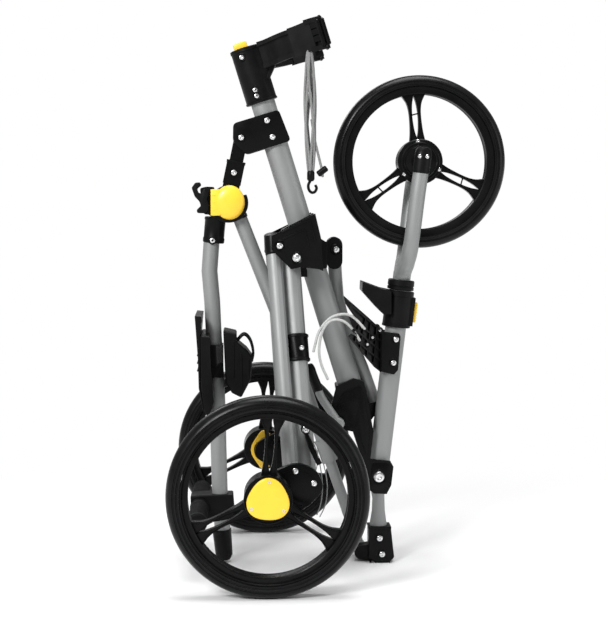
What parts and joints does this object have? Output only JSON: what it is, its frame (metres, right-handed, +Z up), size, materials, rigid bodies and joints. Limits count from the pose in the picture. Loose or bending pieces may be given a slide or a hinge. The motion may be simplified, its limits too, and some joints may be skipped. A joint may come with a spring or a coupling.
{
  "type": "golf push trolley",
  "caption": "Folding golf push trolley with spoked rear wheels, a swivelling front wheel, bag cradle arms, a folding T-handle and a score-card console, shown folded and standing.",
  "frame": {"origin": "on the floor at the centre of the folded trolley's footprint box", "axes": "+Z up, +X from the handle side towards the front tube and front wheel, +Y to the trolley's left side"},
  "size_m": [0.513, 0.474, 0.8281],
  "materials": {
    "tube_grey": "satin silver-grey",
    "black_casting": "satin black",
    "black_metal": "satin black powder coat",
    "tyre": "smooth black",
    "wheel": "satin black",
    "yellow": "semi-gloss yellow",
    "cord": "woven light grey",
    "steel": "bright",
    "grip": "matte black"
  },
  "bodies": {
    "frame": {"main_tube": "tube_grey", "upper_bracket": "black_casting", "bag_arm_right": "black_casting", "bag_arm_left": "black_casting", "frame_plate_right": "black_metal", "frame_plate_left": "black_metal", "hub_casting": "black_metal", "brace_tube": "tube_grey", "brace_cap": "black_casting", "lower_casting": "black_metal", "leg_pivot_pin": "steel", "front_pivot_bolt": "steel", "bag_cord": "cord", "cord_hook": "black_casting"},
    "upper_button": {"upper_button": "yellow"},
    "arm": {"arm_link": "black_metal"},
    "strut": {"handle_strut": "tube_grey"},
    "handle": {"handle_hinge": "black_casting", "handle_knob": "yellow", "handle_pivot_bolt": "steel", "handle_stem": "tube_grey", "handle_tee": "black_casting", "handle_grips": "grip", "stem_cap": "black_casting", "console_tray": "black_casting", "console_holder": "black_casting"},
    "latch_hook": {"latch_hook": "black_casting"},
    "lid": {"console_lid": "black_casting"},
    "legs": {"leg_right": "tube_grey", "leg_left": "tube_grey", "leg_crossbar": "black_metal"},
    "links": {"leg_link_right": "tube_grey", "leg_link_left": "tube_grey"},
    "carriers": {"axle_carrier_right": "black_metal", "axle_carrier_left": "black_metal"},
    "rear_wheel_right": {"rear_tyre_right": "tyre", "rear_rim_right": "wheel", "wheel_cap_right": "yellow"},
    "rear_wheel_left": {"rear_tyre_left": "tyre", "rear_rim_left": "wheel", "wheel_cap_left": "yellow"},
    "quick_release_right": {"quick_release_right": "yellow"},
    "quick_release_left": {"quick_release_left": "yellow"},
    "strut_outer": {"fold_strut_outer": "tube_grey"},
    "strut_inner": {"fold_strut_inner": "tube_grey"},
    "fold_catch": {"fold_catch": "tube_grey"},
    "front": {"front_tube": "tube_grey", "front_tube_foot": "black_casting", "steer_collar": "black_casting", "bag_stop": "black_casting", "bag_base_right": "black_casting", "bag_base_left": "black_casting", "base_cord": "cord"},
    "steer_button": {"steer_button": "yellow"},
    "fork": {"front_fork": "tube_grey", "front_axle": "steel"},
    "front_wheel": {"front_tyre": "tyre", "front_rim": "wheel"},
    "brake_lever_right": {"brake_lever_right": "black_casting"},
    "brake_lever_left": {"brake_lever_left": "black_casting"}
  },
  "joints": [
    {"name": "frame_fold", "type": "hinge", "parent": "frame", "child": "legs", "pos_m": [-0.0665, 0, 0.478], "axis": [0, 1, 0], "range_deg": [0, 50]},
    {"name": "link_turn", "type": "hinge", "parent": "frame", "child": "links", "pos_m": [-0.0915, 0, 0.496], "axis": [0, 1, 0], "range_deg": [0, 50]},
    {"name": "carrier_turn", "type": "hinge", "parent": "legs", "child": "carriers", "pos_m": [-0.0445, 0, 0.157], "axis": [0, 1, 0], "range_deg": [-50, 0]},
    {"name": "arm_turn", "type": "hinge", "parent": "frame", "child": "arm", "pos_m": [-0.1485, 0, 0.658], "axis": [0, 1, 0], "range_deg": [0, 58.48]},
    {"name": "strut_turn", "type": "hinge", "parent": "arm", "child": "strut", "pos_m": [-0.169, 0, 0.56], "axis": [0, 1, 0], "range_deg": [-51.81, 0]},
    {"name": "fold_strut_turn", "type": "hinge", "parent": "legs", "child": "strut_outer", "pos_m": [-0.0755, 0.034, 0.344], "axis": [0, 1, 0], "range_deg": [-75.5, 0]},
    {"name": "fold_strut_slide", "type": "slide", "parent": "strut_outer", "child": "strut_inner", "axis": [0.324, 0, -0.9461], "range_m": [-0.1204, 0]},
    {"name": "front_tube_fold", "type": "hinge", "parent": "frame", "child": "front", "pos_m": [0.0628, 0, 0.1369], "axis": [0, 1, 0], "range_deg": [0, 130]},
    {"name": "handle_fold", "type": "hinge", "parent": "arm", "child": "handle", "pos_m": [-0.169, 0, 0.56], "axis": [0, 1, 0], "range_deg": [0, 105]},
    {"name": "rear_wheel_right_spin", "type": "hinge", "parent": "carriers", "child": "rear_wheel_right", "pos_m": [-0.1115, -0.21, 0.145], "axis": [0, 1, 0], "continuous": true},
    {"name": "rear_wheel_left_spin", "type": "hinge", "parent": "carriers", "child": "rear_wheel_left", "pos_m": [-0.1115, 0.21, 0.145], "axis": [0, 1, 0], "continuous": true},
    {"name": "front_wheel_spin", "type": "hinge", "parent": "fork", "child": "front_wheel", "pos_m": [0.1245, 0, 0.622], "axis": [0, 1, 0], "continuous": true},
    {"name": "fork_swivel", "type": "hinge", "parent": "front", "child": "fork", "pos_m": [0.09663, 0, 0.42492], "axis": [0.1167, 0, 0.9932], "continuous": true},
    {"name": "upper_button_press", "type": "slide", "parent": "frame", "child": "upper_button", "axis": [0.2957, 0, -0.9553], "range_m": [0, 0.003], "stiffness_N_per_m": 400},
    {"name": "steer_button_press", "type": "slide", "parent": "front", "child": "steer_button", "axis": [-0.9932, 0, 0.1167], "range_m": [0, 0.0025], "stiffness_N_per_m": 400},
    {"name": "latch_hook_turn", "type": "hinge", "parent": "handle", "child": "latch_hook", "pos_m": [-0.2, -0.0285, 0.56], "axis": [0, 1, 0], "range_deg": [-8, 8]},
    {"name": "console_lid_open", "type": "hinge", "parent": "handle", "child": "lid", "pos_m": [-0.2135, 0, 0.389], "axis": [0, 1, 0], "range_deg": [0, 100]},
    {"name": "quick_release_right_press", "type": "slide", "parent": "rear_wheel_right", "child": "quick_release_right", "axis": [0, 1, 0], "range_m": [0, 0.003], "stiffness_N_per_m": 400},
    {"name": "quick_release_left_press", "type": "slide", "parent": "rear_wheel_left", "child": "quick_release_left", "axis": [0, -1, 0], "range_m": [0, 0.003], "stiffness_N_per_m": 400},
    {"name": "fold_catch_turn", "type": "hinge", "parent": "frame", "child": "fold_catch", "pos_m": [-0.0001, -0.03, 0.2222], "axis": [0, 1, 0], "range_deg": [0, 25]},
    {"name": "brake_lever_right_turn", "type": "hinge", "parent": "legs", "child": "brake_lever_right", "pos_m": [-0.0552, -0.108, 0.2294], "axis": [0, 1, 0], "range_deg": [-20, 0]},
    {"name": "brake_lever_left_turn", "type": "hinge", "parent": "legs", "child": "brake_lever_left", "pos_m": [-0.0552, 0.108, 0.2294], "axis": [0, 1, 0], "range_deg": [-20, 0]}
  ],
  "couplings": [
    {"joint": "link_turn", "follows": "frame_fold", "ratio": 1},
    {"joint": "carrier_turn", "follows": "frame_fold", "ratio": -1},
    {"joint": "arm_turn", "follows": "frame_fold", "ratio": 1.1686},
    {"joint": "strut_turn", "follows": "frame_fold", "ratio": -1.0352},
    {"joint": "fold_strut_turn", "follows": "frame_fold", "ratio": -1.509},
    {"joint": "fold_strut_slide", "follows": "frame_fold", "m_per_rad": -0.13774},
    {"joint": "front_tube_fold", "follows": "frame_fold", "ratio": 2.6}
  ]
}
